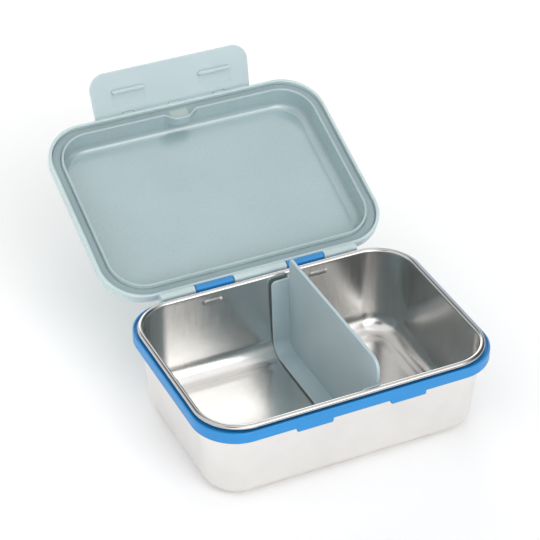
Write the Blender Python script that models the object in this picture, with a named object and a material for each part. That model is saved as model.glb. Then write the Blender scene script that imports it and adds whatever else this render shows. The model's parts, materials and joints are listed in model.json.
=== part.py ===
"""Lunch box: steel tub, clip-on rim frame, hinged lid with seal, latch flap and sliding divider.

Metres, +Z up. The origin is the centre of the tub's base, +X runs along the long side and +Y
points to the lid's hinge. The lid, its seal and the latch flap are modelled closed and the
divider upright, and their pivots turn them to the open, slightly leaning rest position.
"""

import math

import bmesh
import bpy
from mathutils import Matrix, Vector

MM = 0.001

# Rim line: the inner edge of the tub's mouth. Every tub section is this outline, offset.
RIM_HALF_X = 84.0 * MM
RIM_HALF_Y = 57.7 * MM
RIM_RADIUS = 22.3 * MM
RIM_TOP = 54.57 * MM

# Tub
STEEL = 0.7 * MM
BEAD_RADIUS = 1.75 * MM
BEAD_START_DEG = 233  # where the roll's free edge ends, just off the wall
FLOOR_RISE = 0.7 * MM  # the floor's border stands this much above its pressed panel
FLOOR_PANEL_OFFSET = -19.0 * MM
FLOOR_STEP = 7.0 * MM
FOOT_FILLET = 8.9 * MM
WALL_STATIONS = ((9.6, -1.9), (24.0, -0.6), (38.0, 0.35), (50.0, 0.7))  # outer wall: z, offset
DIMPLE_X = 33.8 * MM
DIMPLE_Z = 47.7 * MM
DIMPLE_LENGTH = 12.8 * MM
DIMPLE_RADIUS = 1.75 * MM
DIMPLE_DEPTH = 0.8 * MM
DENT_START = 0.3 * MM  # the dent's cutter starts this far inside the wall

# Rim frame
FRAME_HALF_X = 89.4 * MM
FRAME_HALF_Y = 63.1 * MM
OUTER_RADIUS = 25.5 * MM
FRAME_TOP = 51.8 * MM
FRAME_BOTTOM = 45.1 * MM
FRAME_LEDGE = 50.7 * MM
GROOVE_WALL = 1.1 * MM
CATCH_X = (17.5 * MM, 39.0 * MM)
CATCH_BOTTOM = 42.5 * MM
CATCH_THICKNESS = 1.8 * MM
CATCH_ROOT = 1.5 * MM  # how far a catch runs up into the frame
CATCH_CORNER = 1.0 * MM
SLOT_DEPTH = 1.4 * MM

# Lid
LID_HALF_X = 89.7 * MM
LID_HALF_Y = 63.3 * MM
SKIRT_EDGE = 52.3 * MM
SKIRT_WALL = 1.7 * MM
SHOULDER_Z = 57.6 * MM
SHOULDER_RADIUS = 1.6 * MM
LIP_GAP = 1.1 * MM  # from the tub's rim line to the lip
LIP_WALL = 1.4 * MM
LIP_EDGE = 52.1 * MM
CHANNEL_ROOF = 57.0 * MM
PANEL_Z = 66.9 * MM
RECESS_DRAFT = 0.8 * MM
RECESS_FILLET = 3.0 * MM
LID_TOP = 68.6 * MM
DOME_OFFSET = -1.4 * MM  # the raised top's side, from the rim line
DOME_FILLET = 2.5 * MM
POCKET_RADIUS = 13.4 * MM
POCKET_DEPTH = 4.5 * MM  # how far the finger pocket dips in past the lip
TAB_RADIUS = 4.2 * MM  # the seal's pull tab, inside the pocket
TAB_DROP = 0.3 * MM

# Lid hinge
HINGE_Y = 66.3 * MM
HINGE_Z = 52.3 * MM
LID_OPEN = math.radians(157.2)
RAIL_RADIUS = 2.8 * MM
RAIL_END = 62.5 * MM
KNUCKLE_RADIUS = 2.5 * MM
KNUCKLE_X = (17.2 * MM, 40.8 * MM)
HINGE_GAP = 0.5 * MM
PIN_RADIUS = 0.9 * MM
PIN_GRIP = 4.2 * MM  # length of pin held in the rail at each end

# Latch flap
LATCH_Y = -65.3 * MM
LATCH_Z = 56.3 * MM
LATCH_OPEN = math.radians(40.0)
BARREL_RADIUS = 1.7 * MM
FLAP_HALF_X = 51.8 * MM
FLAP_LENGTH = 27.8 * MM
FLAP_CORNER = 10.0 * MM
FLAP_TAPER = 0.8 * MM  # narrower by this at its axis
FLAP_INNER_Y = -64.5 * MM
FLAP_OUTER_Y = -66.3 * MM
RIB_X = (18.0 * MM, 38.7 * MM)
RIB_Z = (39.6 * MM, 41.9 * MM)
RIB_TIP_Y = -61.9 * MM
RIB_ROOT = 0.6 * MM
NOTCH_REACH = 2.0 * MM  # of the lug notches, from the axis
LUG_XS = (-30.0 * MM, 0.0, 30.0 * MM)
LUG_WIDTH = 7.0 * MM
LUG_GAP = 0.4 * MM
LATCH_PIN_RADIUS = 0.7 * MM
LATCH_PIN_HALF = 46.0 * MM

# Divider
DIVIDER_X = (14.4 * MM, 16.4 * MM)  # its two faces at the foot
DIVIDER_LEAN = math.radians(1.6)  # towards -X at the top
DIVIDER_TOP = 66.3 * MM
DIVIDER_BOTTOM = 2.1 * MM
DIVIDER_FOOT_HALF_Y = 54.4 * MM
DIVIDER_TOP_HALF_Y = 53.9 * MM
DIVIDER_FOOT_RADIUS = 8.4 * MM
DIVIDER_FRONT_RADIUS = 7.0 * MM
DIVIDER_REAR_RADIUS = 2.5 * MM
FLANGE_EDGE_X = 3.6 * MM
FLANGE_TOP = 51.7 * MM
FLANGE_TOP_HALF_Y = 55.9 * MM  # the flange leans out with the tub's walls
FLANGE_THICKNESS = 1.5 * MM
FLANGE_CORNER = 3.5 * MM
FLANGE_ROOT = 0.9 * MM  # how far the flange runs into the plate

CLEARANCE = 0.4 * MM  # between pieces that move or slip over each other
FIT_GAP = 0.3 * MM  # between pieces that touch
CORNER_STEPS = 9
ROUND_STEPS = 16


# ---------------------------------------------------------------- scene and helpers


def clear_scene():
    for obj in list(bpy.data.objects):
        bpy.data.objects.remove(obj, do_unlink=True)


def new_collection(name, hidden=False):
    collection = bpy.data.collections.new(name)
    bpy.context.scene.collection.children.link(collection)
    collection.hide_render = hidden
    return collection


def make_material(name, colour, roughness, metallic=0.0, alpha=1.0):
    material = bpy.data.materials.new(name)
    material.use_nodes = True
    shader = material.node_tree.nodes["Principled BSDF"]
    shader.inputs["Base Color"].default_value = (*colour, 1.0)
    shader.inputs["Roughness"].default_value = roughness
    shader.inputs["Metallic"].default_value = metallic
    shader.inputs["Alpha"].default_value = alpha
    return material


def new_object(name, bm, collection):
    bm.normal_update()
    bmesh.ops.recalc_face_normals(bm, faces=bm.faces)
    mesh = bpy.data.meshes.new(name)
    bm.to_mesh(mesh)
    bm.free()
    mesh.shade_smooth()
    mesh.set_sharp_from_angle(angle=math.radians(35))
    obj = bpy.data.objects.new(name, mesh)
    collection.objects.link(obj)
    return obj


def finish_part(obj, material):
    obj.data.materials.clear()
    obj.data.materials.append(material)
    return obj


def as_cutter(obj):
    obj.hide_render = True
    obj.display_type = "WIRE"
    return obj


def apply_boolean(obj, other, operation):
    """Adds a Boolean to obj. The other object is moved among the helpers."""
    modifier = obj.modifiers.new(operation.title(), "BOOLEAN")
    modifier.operation = operation
    modifier.solver = "EXACT"
    modifier.object = as_cutter(other)
    return obj


def arc(centre, radius, start_deg, end_deg, steps):
    """Points of an arc, both ends included."""
    points = []
    for i in range(steps + 1):
        angle = math.radians(start_deg + (end_deg - start_deg) * i / steps)
        points.append((centre[0] + radius * math.cos(angle), centre[1] + radius * math.sin(angle)))
    return points


def rounded_outline(half_x, half_y, radius, steps=CORNER_STEPS):
    points = []
    for sign_x, sign_y, start in ((1, 1, 0), (-1, 1, 90), (-1, -1, 180), (1, -1, 270)):
        centre = (sign_x * (half_x - radius), sign_y * (half_y - radius))
        points += arc(centre, radius, start, start + 90, steps)
    return points


def rim_section(offset, z):
    """The rim line, offset outwards, at height z."""
    return (RIM_HALF_X + offset, RIM_HALF_Y + offset, RIM_RADIUS + offset, z)


def loft(name, sections, collection, loop=False):
    """Joins rounded rectangles (half_x, half_y, radius, z) in order, capped or as a closed loop."""
    bm = bmesh.new()
    rings = []
    for half_x, half_y, radius, z in sections:
        outline = rounded_outline(half_x, half_y, radius)
        rings.append([bm.verts.new((x, y, z)) for x, y in outline])
    pairs = list(zip(rings, rings[1:]))
    if loop:
        pairs.append((rings[-1], rings[0]))
    else:
        bm.faces.new(rings[0])
        bm.faces.new(rings[-1])
    count = len(rings[0])
    for lower, upper in pairs:
        for i in range(count):
            j = (i + 1) % count
            bm.faces.new((lower[i], lower[j], upper[j], upper[i]))
    return new_object(name, bm, collection)


def prism(name, outline, axis, start, end, collection):
    """Extrudes an outline of (y, z) points along X, of (x, z) along Y or of (x, y) along Z."""
    place = {
        "X": lambda a, b: Vector((start, a, b)),
        "Y": lambda a, b: Vector((a, start, b)),
        "Z": lambda a, b: Vector((a, b, start)),
    }[axis]
    direction = {"X": Vector((1, 0, 0)), "Y": Vector((0, 1, 0)), "Z": Vector((0, 0, 1))}[axis]
    bm = bmesh.new()
    face = bm.faces.new([bm.verts.new(place(a, b)) for a, b in outline])
    grown = bmesh.ops.extrude_face_region(bm, geom=[face])["geom"]
    moved = [item for item in grown if isinstance(item, bmesh.types.BMVert)]
    bmesh.ops.translate(bm, verts=moved, vec=direction * (end - start))
    return new_object(name, bm, collection)


def block(name, low, high, collection):
    bm = bmesh.new()
    size = Vector(high) - Vector(low)
    middle = (Vector(high) + Vector(low)) / 2
    bmesh.ops.create_cube(bm, size=1.0, matrix=Matrix.Translation(middle) @ Matrix.Diagonal((*size, 1)))
    return new_object(name, bm, collection)


def rod(name, radius, x_range, y, z, collection, steps=ROUND_STEPS):
    """A round bar along X."""
    bm = bmesh.new()
    middle = Vector(((x_range[0] + x_range[1]) / 2, y, z))
    turn = Matrix.Rotation(math.pi / 2, 4, "Y")
    bmesh.ops.create_cone(
        bm,
        cap_ends=True,
        segments=steps,
        radius1=radius,
        radius2=radius,
        depth=x_range[1] - x_range[0],
        matrix=Matrix.Translation(middle) @ turn,
    )
    return new_object(name, bm, collection)


def half_pill(name, centre, length, radius, depth, side, collection):
    """A pill lying along X, flat on one face and bulging by depth towards side, which is 1 or -1."""
    bm = bmesh.new()
    bmesh.ops.create_uvsphere(bm, u_segments=16, v_segments=8, radius=1.0)
    whole = [*bm.verts, *bm.edges, *bm.faces]
    bmesh.ops.bisect_plane(bm, geom=whole, plane_co=(0, 0, 0), plane_no=(0, -1, 0), clear_outer=True)
    bmesh.ops.holes_fill(bm, edges=[edge for edge in bm.edges if edge.is_boundary])
    straight = length / 2 - radius
    for vert in bm.verts:
        along = straight if vert.co.x > 1e-6 else -straight if vert.co.x < -1e-6 else 0.0
        bulge = vert.co.y * side * depth
        vert.co = Vector((vert.co.x * radius + along, bulge, vert.co.z * radius)) + Vector(centre)
    return new_object(name, bm, collection)


# ---------------------------------------------------------------- tub


def wall_sections(skin):
    """The tub's side wall from its foot to its top; skin is 0 outside and STEEL inside."""
    return [rim_section(offset * MM - skin, z * MM) for z, offset in WALL_STATIONS]


def foot_sections(skin):
    """The fillet between floor and wall, from the floor outwards."""
    foot_z, foot_offset = WALL_STATIONS[0][0] * MM, WALL_STATIONS[0][1] * MM
    centre = (foot_offset - FOOT_FILLET, foot_z)
    return [rim_section(o, z) for o, z in arc(centre, FOOT_FILLET - skin, -90, 0, 6)[:-1]]


def floor_sections(skin):
    """The pressed panel's edge and its step, from the middle outwards."""
    return [
        rim_section(FLOOR_PANEL_OFFSET, skin),
        rim_section(FLOOR_PANEL_OFFSET + FLOOR_STEP, FLOOR_RISE + skin),
    ]


def make_tub(parts, helpers):
    wall_top = RIM_TOP - BEAD_RADIUS
    bead = arc((BEAD_RADIUS, wall_top), BEAD_RADIUS, BEAD_START_DEG, 540, 13)
    outside = floor_sections(0.0) + foot_sections(0.0) + wall_sections(0.0)
    inside = floor_sections(STEEL) + foot_sections(STEEL) + wall_sections(STEEL)
    tub = loft("steel_tub", outside + [rim_section(o, z) for o, z in bead] + inside[::-1], parts)
    for sign_x in (-1, 1):
        for sign_y in (-1, 1):
            centre = (sign_x * DIMPLE_X, sign_y * (RIM_HALF_Y + STEEL / 2), DIMPLE_Z)
            length, radius = DIMPLE_LENGTH + STEEL, DIMPLE_RADIUS + STEEL / 2
            bulge = DIMPLE_DEPTH + STEEL / 2
            boss = half_pill("dimple_boss", centre, length, radius, bulge, sign_y, helpers)
            apply_boolean(tub, boss, "UNION")
            centre = (centre[0], sign_y * (RIM_HALF_Y - DENT_START), DIMPLE_Z)
            bulge = DIMPLE_DEPTH + DENT_START
            dent = half_pill("dimple_dent", centre, DIMPLE_LENGTH, DIMPLE_RADIUS, bulge, sign_y, helpers)
            apply_boolean(tub, dent, "DIFFERENCE")
    return tub


# ---------------------------------------------------------------- rim frame


def frame_section(inset, z):
    """The frame's outline, offset inwards, at height z."""
    return (FRAME_HALF_X - inset, FRAME_HALF_Y - inset, OUTER_RADIUS - inset, z)


def frame_sections():
    """Round the band: its outer face, the groove wall around the bead, the ledge and the bore."""
    edge = 0.4 * MM
    return [
        frame_section(edge, FRAME_BOTTOM),
        frame_section(0.0, FRAME_BOTTOM + edge),
        frame_section(0.0, FRAME_TOP - edge),
        frame_section(edge, FRAME_TOP),
        frame_section(GROOVE_WALL, FRAME_TOP),
        frame_section(GROOVE_WALL, FRAME_LEDGE),
        rim_section(STEEL + CLEARANCE, FRAME_LEDGE),
        rim_section(STEEL + CLEARANCE, FRAME_BOTTOM),
    ]


def knuckle_outline():
    """Section of a hinge knuckle: a barrel on a gusset that grows from the frame's rear face."""
    root_y = FRAME_HALF_Y - 0.8 * MM
    barrel = arc((HINGE_Y, HINGE_Z), KNUCKLE_RADIUS, 201, -50, 14)
    return [(root_y, FRAME_TOP - 0.4 * MM), *barrel, (root_y, FRAME_BOTTOM + 0.9 * MM)]


def make_frame(parts, helpers):
    frame = loft("rim_frame", frame_sections(), parts, loop=True)
    for sign in (-1, 1):
        low_x, high_x = sorted((sign * CATCH_X[0], sign * CATCH_X[1]))
        round_z = CATCH_BOTTOM + CATCH_CORNER
        outline = [
            (low_x, FRAME_BOTTOM + CATCH_ROOT),
            *arc((low_x + CATCH_CORNER, round_z), CATCH_CORNER, 180, 270, 3),
            *arc((high_x - CATCH_CORNER, round_z), CATCH_CORNER, 270, 360, 3),
            (high_x, FRAME_BOTTOM + CATCH_ROOT),
        ]
        face = -FRAME_HALF_Y
        catch = prism("catch", outline, "Y", face, face + CATCH_THICKNESS, helpers)
        apply_boolean(frame, catch, "UNION")
        low_x, high_x = sorted((sign * KNUCKLE_X[0], sign * KNUCKLE_X[1]))
        knuckle = prism("knuckle", knuckle_outline(), "X", low_x, high_x, helpers)
        apply_boolean(frame, knuckle, "UNION")
        ends = (low_x - MM, high_x + MM)
        bore = rod("knuckle_bore", PIN_RADIUS + CLEARANCE, ends, HINGE_Y, HINGE_Z, helpers)
        apply_boolean(frame, bore, "DIFFERENCE")
    cut_dimple_slots(frame, helpers)
    return frame


def cut_dimple_slots(frame, helpers):
    """Slots, open below, in which the frame's inner ledge rests on the tub's four dimples."""
    half_length = DIMPLE_LENGTH / 2 + STEEL + CLEARANCE
    slot_top = DIMPLE_Z + DIMPLE_RADIUS + STEEL / 2 + FIT_GAP
    for sign_x in (-1, 1):
        for sign_y in (-1, 1):
            near = sign_y * (RIM_HALF_Y + STEEL)
            deep = sign_y * (RIM_HALF_Y + STEEL + SLOT_DEPTH)
            low = (sign_x * DIMPLE_X - half_length, min(near, deep), FRAME_BOTTOM - MM)
            high = (sign_x * DIMPLE_X + half_length, max(near, deep), slot_top)
            apply_boolean(frame, block("dimple_slot", low, high, helpers), "DIFFERENCE")


# ---------------------------------------------------------------- lid


def skirt_section(inset, z):
    """The lid's outline, offset inwards, at height z."""
    return (LID_HALF_X - inset, LID_HALF_Y - inset, OUTER_RADIUS - inset, z)


def lid_sections():
    """From the middle of the panel's underside, over lip, channel and skirt, to the top's middle."""
    recess_low = -LIP_GAP - LIP_WALL
    recess_high = recess_low - RECESS_DRAFT
    edge = 0.4 * MM
    fillet = arc((recess_high - RECESS_FILLET, PANEL_Z - RECESS_FILLET), RECESS_FILLET, 90, 0, 4)
    shoulder = arc((SHOULDER_RADIUS, SHOULDER_Z), SHOULDER_RADIUS, 180, 90, 3)
    dome = arc((DOME_OFFSET - DOME_FILLET, LID_TOP - DOME_FILLET), DOME_FILLET, 0, 90, 3)
    return [
        *[rim_section(o, z) for o, z in fillet],
        rim_section(recess_low, LIP_EDGE + edge),
        rim_section(recess_low + edge, LIP_EDGE),
        rim_section(-LIP_GAP - edge, LIP_EDGE),
        rim_section(-LIP_GAP, LIP_EDGE + edge),
        rim_section(-LIP_GAP, CHANNEL_ROOF),
        skirt_section(SKIRT_WALL, CHANNEL_ROOF),
        skirt_section(SKIRT_WALL, SKIRT_EDGE + edge),
        skirt_section(SKIRT_WALL - edge, SKIRT_EDGE),
        skirt_section(edge, SKIRT_EDGE),
        skirt_section(0.0, SKIRT_EDGE + edge),
        *[skirt_section(inset, z) for inset, z in shoulder],
        rim_section(DOME_OFFSET + 2.0 * MM, SHOULDER_Z + SHOULDER_RADIUS + 0.1 * MM),
        rim_section(DOME_OFFSET + 0.8 * MM, SHOULDER_Z + SHOULDER_RADIUS + 0.9 * MM),
        *[rim_section(o, z) for o, z in dome],
    ]


def rail_outline():
    """Section of a hinge rail: a barrel that a sloping web joins to the skirt's rear face."""
    root_y = LID_HALF_Y - 0.7 * MM
    barrel = arc((HINGE_Y, HINGE_Z), RAIL_RADIUS, 180, 400, 14)
    return [*barrel, (root_y, SHOULDER_Z), (root_y, HINGE_Z)]


def lug_outline():
    """Section of a latch lug: a barrel standing off the skirt's front face."""
    root_y = -LID_HALF_Y + 0.6 * MM
    barrel = arc((LATCH_Y, LATCH_Z), BARREL_RADIUS, 90, 270, 8)
    return [*barrel, (root_y, LATCH_Z - BARREL_RADIUS), (root_y, LATCH_Z + BARREL_RADIUS)]


def pocket_outline(radius, front_y):
    """Plan of the finger pocket: a circle's inner arc closed by a chord at front_y."""
    centre_y = -RIM_HALF_Y + LIP_GAP + POCKET_DEPTH - POCKET_RADIUS
    reach = math.degrees(math.acos((front_y - centre_y) / radius))
    return arc((0.0, centre_y), radius, 90 - reach, 90 + reach, 12)


def rail_ranges():
    inner = KNUCKLE_X[0] - HINGE_GAP
    outer = KNUCKLE_X[1] + HINGE_GAP
    return ((-RAIL_END, -outer), (-inner, inner), (outer, RAIL_END))


def make_lid(parts, helpers, pivot):
    lid = loft("lid_shell", lid_sections(), parts)
    tools = []
    lip_front = -RIM_HALF_Y + LIP_GAP
    wall = pocket_outline(POCKET_RADIUS + LIP_WALL, lip_front + LIP_WALL / 2)
    wall = prism("pocket_wall", wall, "Z", LIP_EDGE, CHANNEL_ROOF + LIP_WALL, helpers)
    tools.append((wall, "UNION"))
    hollow = pocket_outline(POCKET_RADIUS, lip_front - 1.0 * MM)
    hollow = prism("pocket_hollow", hollow, "Z", LIP_EDGE - MM, CHANNEL_ROOF, helpers)
    tools.append((hollow, "DIFFERENCE"))
    for x_range in rail_ranges():
        tools.append((prism("rail", rail_outline(), "X", *x_range, helpers), "UNION"))
    for sign in (-1, 1):
        reach = PIN_GRIP + HINGE_GAP + CLEARANCE
        ends = sorted((sign * (KNUCKLE_X[0] - reach), sign * (KNUCKLE_X[1] + reach)))
        bore = rod("rail_bore", PIN_RADIUS + CLEARANCE, ends, HINGE_Y, HINGE_Z, helpers)
        tools.append((bore, "DIFFERENCE"))
    for x in LUG_XS:
        lug = prism("lug", lug_outline(), "X", x - LUG_WIDTH / 2, x + LUG_WIDTH / 2, helpers)
        tools.append((lug, "UNION"))
        ends = (x - LUG_WIDTH, x + LUG_WIDTH)
        bore = rod("lug_bore", LATCH_PIN_RADIUS + CLEARANCE, ends, LATCH_Y, LATCH_Z, helpers, 12)
        tools.append((bore, "DIFFERENCE"))
    attach(lid, pivot)
    for tool, operation in tools:
        attach(tool, pivot)
        apply_boolean(lid, tool, operation)
    return lid


def make_gasket(parts, helpers, pivot):
    """The seal that fills the lid's channel and bears on the bead, with a tab to pull it out by."""
    lip = -LIP_GAP + CLEARANCE
    low, high = RIM_TOP + CLEARANCE, CHANNEL_ROOF - FIT_GAP
    sections = [
        rim_section(lip, low),
        skirt_section(SKIRT_WALL + CLEARANCE, low),
        skirt_section(SKIRT_WALL + CLEARANCE, high),
        rim_section(lip, high),
    ]
    gasket = loft("lid_gasket", sections, parts, loop=True)
    tab_y = -RIM_HALF_Y
    root = [(-TAB_RADIUS, tab_y - MM), (TAB_RADIUS, tab_y - MM)]
    outline = [*arc((0.0, tab_y), TAB_RADIUS, 0, 180, 10), *root]
    tab = prism("pull_tab", outline, "Z", low - TAB_DROP, high - TAB_DROP, helpers)
    attach(gasket, pivot)
    attach(tab, pivot)
    return apply_boolean(gasket, tab, "UNION")


def make_hinge_pins(parts, pivot):
    pins = []
    for name, sign in (("hinge_pin_left", -1), ("hinge_pin_right", 1)):
        reach = PIN_GRIP + HINGE_GAP
        ends = sorted((sign * (KNUCKLE_X[0] - reach), sign * (KNUCKLE_X[1] + reach)))
        pins.append(attach(rod(name, PIN_RADIUS, ends, HINGE_Y, HINGE_Z, parts), pivot))
    ends = (-LATCH_PIN_HALF, LATCH_PIN_HALF)
    pins.append(attach(rod("latch_pin", LATCH_PIN_RADIUS, ends, LATCH_Y, LATCH_Z, parts, 12), pivot))
    return pins


# ---------------------------------------------------------------- latch flap


def flap_outline():
    tip = LATCH_Z - FLAP_LENGTH
    left = (-FLAP_HALF_X + FLAP_CORNER, tip + FLAP_CORNER)
    right = (FLAP_HALF_X - FLAP_CORNER, tip + FLAP_CORNER)
    base = FLAP_HALF_X - FLAP_TAPER
    return [
        (-base, LATCH_Z),
        *arc(left, FLAP_CORNER, 180, 270, 8),
        *arc(right, FLAP_CORNER, 270, 360, 8),
        (base, LATCH_Z),
    ]


def make_flap(parts, helpers, pivot):
    flap = prism("latch_flap", flap_outline(), "Y", FLAP_OUTER_Y, FLAP_INNER_Y, parts)
    tools = []
    base = FLAP_HALF_X - FLAP_TAPER
    barrel = rod("flap_barrel", BARREL_RADIUS, (-base, base), LATCH_Y, LATCH_Z, helpers)
    tools.append((barrel, "UNION"))
    for sign in (-1, 1):
        low_x, high_x = sorted((sign * RIB_X[0], sign * RIB_X[1]))
        radius = (RIB_Z[1] - RIB_Z[0]) / 2
        middle = (RIB_Z[0] + RIB_Z[1]) / 2
        outline = [
            *arc((low_x + radius, middle), radius, 90, 270, 6),
            *arc((high_x - radius, middle), radius, -90, 90, 6),
        ]
        rib = prism("catch_rib", outline, "Y", FLAP_INNER_Y - RIB_ROOT, RIB_TIP_Y, helpers)
        tools.append((rib, "UNION"))
    half = LUG_WIDTH / 2 + LUG_GAP
    for x in LUG_XS:
        low = (x - half, LATCH_Y - NOTCH_REACH, LATCH_Z - NOTCH_REACH)
        high = (x + half, LATCH_Y + NOTCH_REACH, LATCH_Z + NOTCH_REACH)
        tools.append((block("lug_notch", low, high, helpers), "DIFFERENCE"))
    reach = LATCH_PIN_HALF + LUG_GAP
    radius = LATCH_PIN_RADIUS + FIT_GAP
    bore = rod("barrel_bore", radius, (-reach, reach), LATCH_Y, LATCH_Z, helpers, 12)
    tools.append((bore, "DIFFERENCE"))
    attach(flap, pivot)
    for tool, operation in tools:
        attach(tool, pivot)
        apply_boolean(flap, tool, operation)
    return flap


# ---------------------------------------------------------------- divider


def divider_edge(inset):
    """The arc that joins the divider's foot to its rear end, as (y, z) points."""
    radius = DIVIDER_FOOT_RADIUS - inset
    centre = (DIVIDER_FOOT_HALF_Y - DIVIDER_FOOT_RADIUS, DIVIDER_BOTTOM + DIVIDER_FOOT_RADIUS)
    return arc(centre, radius, -90, 0, 6)


def plate_outline():
    """The plate follows the flange up to its top, and steps in above it to clear the lid's lip."""
    front, rear = DIVIDER_FRONT_RADIUS, DIVIDER_REAR_RADIUS
    side = [*divider_edge(0.0), (FLANGE_TOP_HALF_Y, FLANGE_TOP), (DIVIDER_TOP_HALF_Y, FLANGE_TOP)]
    return [
        *side,
        *arc((DIVIDER_TOP_HALF_Y - rear, DIVIDER_TOP - rear), rear, 0, 90, 4),
        *arc((-DIVIDER_TOP_HALF_Y + front, DIVIDER_TOP - front), front, 90, 180, 8),
        *[(-y, z) for y, z in side[::-1]],
    ]


def flange_outline():
    """A U of the flange's thickness that follows the plate's foot and ends."""
    outer = [*divider_edge(0.0), (FLANGE_TOP_HALF_Y, FLANGE_TOP)]
    inner = [*divider_edge(FLANGE_THICKNESS), (FLANGE_TOP_HALF_Y - FLANGE_THICKNESS, FLANGE_TOP)]
    return [
        *outer,
        *inner[::-1],
        *[(-y, z) for y, z in inner],
        *[(-y, z) for y, z in outer[::-1]],
    ]


def make_divider(parts, helpers, pivot):
    divider = prism("divider", plate_outline(), "X", *DIVIDER_X, parts)
    flange_x = (FLANGE_EDGE_X, DIVIDER_X[0] + FLANGE_ROOT)
    flange = prism("flange", flange_outline(), "X", *flange_x, helpers)
    corner = (FLANGE_EDGE_X + FLANGE_CORNER, FLANGE_TOP - FLANGE_CORNER)
    side = [
        (FLANGE_EDGE_X, DIVIDER_BOTTOM - MM),
        *arc(corner, FLANGE_CORNER, 180, 90, 5),
        (DIVIDER_X[1], FLANGE_TOP),
        (DIVIDER_X[1], DIVIDER_BOTTOM - MM),
    ]
    trim = prism("flange_side", side, "Y", -RIM_HALF_Y, RIM_HALF_Y, helpers)
    for piece in (divider, flange, trim):
        attach(piece, pivot)
    apply_boolean(flange, trim, "INTERSECT")
    return apply_boolean(divider, flange, "UNION")


# ---------------------------------------------------------------- pivots


def new_pivot(name, location, turn, collection):
    """An empty at a joint, turned by the given Euler angles from where its pieces are modelled."""
    pivot = bpy.data.objects.new(name, None)
    pivot.empty_display_size = 0.01
    collection.objects.link(pivot)
    pivot["modelled_at"] = location
    pivot.location = location
    pivot.rotation_euler = turn
    return pivot


def attach(obj, pivot):
    """Parents obj, modelled in the untilted position, to the pivot that turns it."""
    obj.parent = pivot
    obj.matrix_parent_inverse = Matrix.Translation(-Vector(pivot["modelled_at"]))
    return obj


def main():
    clear_scene()
    parts = new_collection("lunch_box")
    helpers = new_collection("cutters", hidden=True)
    steel = make_material("satin_steel", (0.62, 0.60, 0.57), 0.3, 1.0)
    blue = make_material("blue_plastic", (0.06, 0.33, 0.75), 0.35)
    lid_plastic = make_material("lid_plastic", (0.40, 0.53, 0.56), 0.45)
    flap_plastic = make_material("flap_plastic", (0.53, 0.66, 0.70), 0.4)
    silicone = make_material("silicone", (0.24, 0.33, 0.35), 0.6)
    divider_plastic = make_material("divider_plastic", (0.27, 0.36, 0.39), 0.5)

    lid_pivot = new_pivot("lid_pivot", (0.0, HINGE_Y, HINGE_Z), (-LID_OPEN, 0.0, 0.0), parts)
    latch_pivot = new_pivot("latch_pivot", (0.0, LATCH_Y, LATCH_Z), (-LATCH_OPEN, 0.0, 0.0), parts)
    attach(latch_pivot, lid_pivot)
    foot = (DIVIDER_X[0], 0.0, DIVIDER_BOTTOM)
    divider_pivot = new_pivot("divider_pivot", foot, (0.0, -DIVIDER_LEAN, 0.0), parts)

    finish_part(make_tub(parts, helpers), steel)
    finish_part(make_frame(parts, helpers), blue)
    finish_part(make_lid(parts, helpers, lid_pivot), lid_plastic)
    finish_part(make_gasket(parts, helpers, lid_pivot), silicone)
    finish_part(make_flap(parts, helpers, latch_pivot), flap_plastic)
    finish_part(make_divider(parts, helpers, divider_pivot), divider_plastic)
    for pin in make_hinge_pins(parts, lid_pivot):
        finish_part(pin, steel)


main()
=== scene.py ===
"""The lunch box's looks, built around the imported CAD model.

Metres, +Z up, in the CAD's own frame: the origin is the centre of the tub's base, +X runs along
the long side and +Y points to the lid's hinge. The lid, its seal and the latch flap are built
closed and the divider upright, and each is then turned to its place as in the CAD.
"""

import json
import math

import bmesh
import bpy
from mathutils import Euler, Matrix, Vector


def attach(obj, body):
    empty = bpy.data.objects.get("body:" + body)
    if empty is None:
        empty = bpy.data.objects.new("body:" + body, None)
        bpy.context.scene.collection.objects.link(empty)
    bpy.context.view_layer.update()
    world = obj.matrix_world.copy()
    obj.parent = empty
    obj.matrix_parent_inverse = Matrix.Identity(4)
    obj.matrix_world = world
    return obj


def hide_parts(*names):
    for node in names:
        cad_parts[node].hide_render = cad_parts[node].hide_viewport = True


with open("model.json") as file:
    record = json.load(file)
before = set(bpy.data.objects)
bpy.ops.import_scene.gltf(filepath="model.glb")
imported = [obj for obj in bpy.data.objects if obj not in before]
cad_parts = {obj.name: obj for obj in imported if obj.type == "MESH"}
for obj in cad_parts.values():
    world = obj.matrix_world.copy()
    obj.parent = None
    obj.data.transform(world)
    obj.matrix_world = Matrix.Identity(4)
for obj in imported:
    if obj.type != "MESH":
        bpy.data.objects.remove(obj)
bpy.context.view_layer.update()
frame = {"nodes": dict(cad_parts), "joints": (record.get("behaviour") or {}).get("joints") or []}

MM = 0.001

# Rim line: the inner edge of the tub's mouth. Sections are this outline, offset by u.
RIM_HALF_X = 84.0 * MM
RIM_HALF_Y = 57.7 * MM
RIM_RADIUS = 22.3 * MM
RIM_TOP = 54.57 * MM
SKIRT_U = 5.7 * MM  # the lid's outer wall, and what its other sections are scaled to
SKIRT_GROW_Y = 5.6 / 5.7
SKIRT_GROW_RADIUS = 3.2 / 5.7

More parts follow.
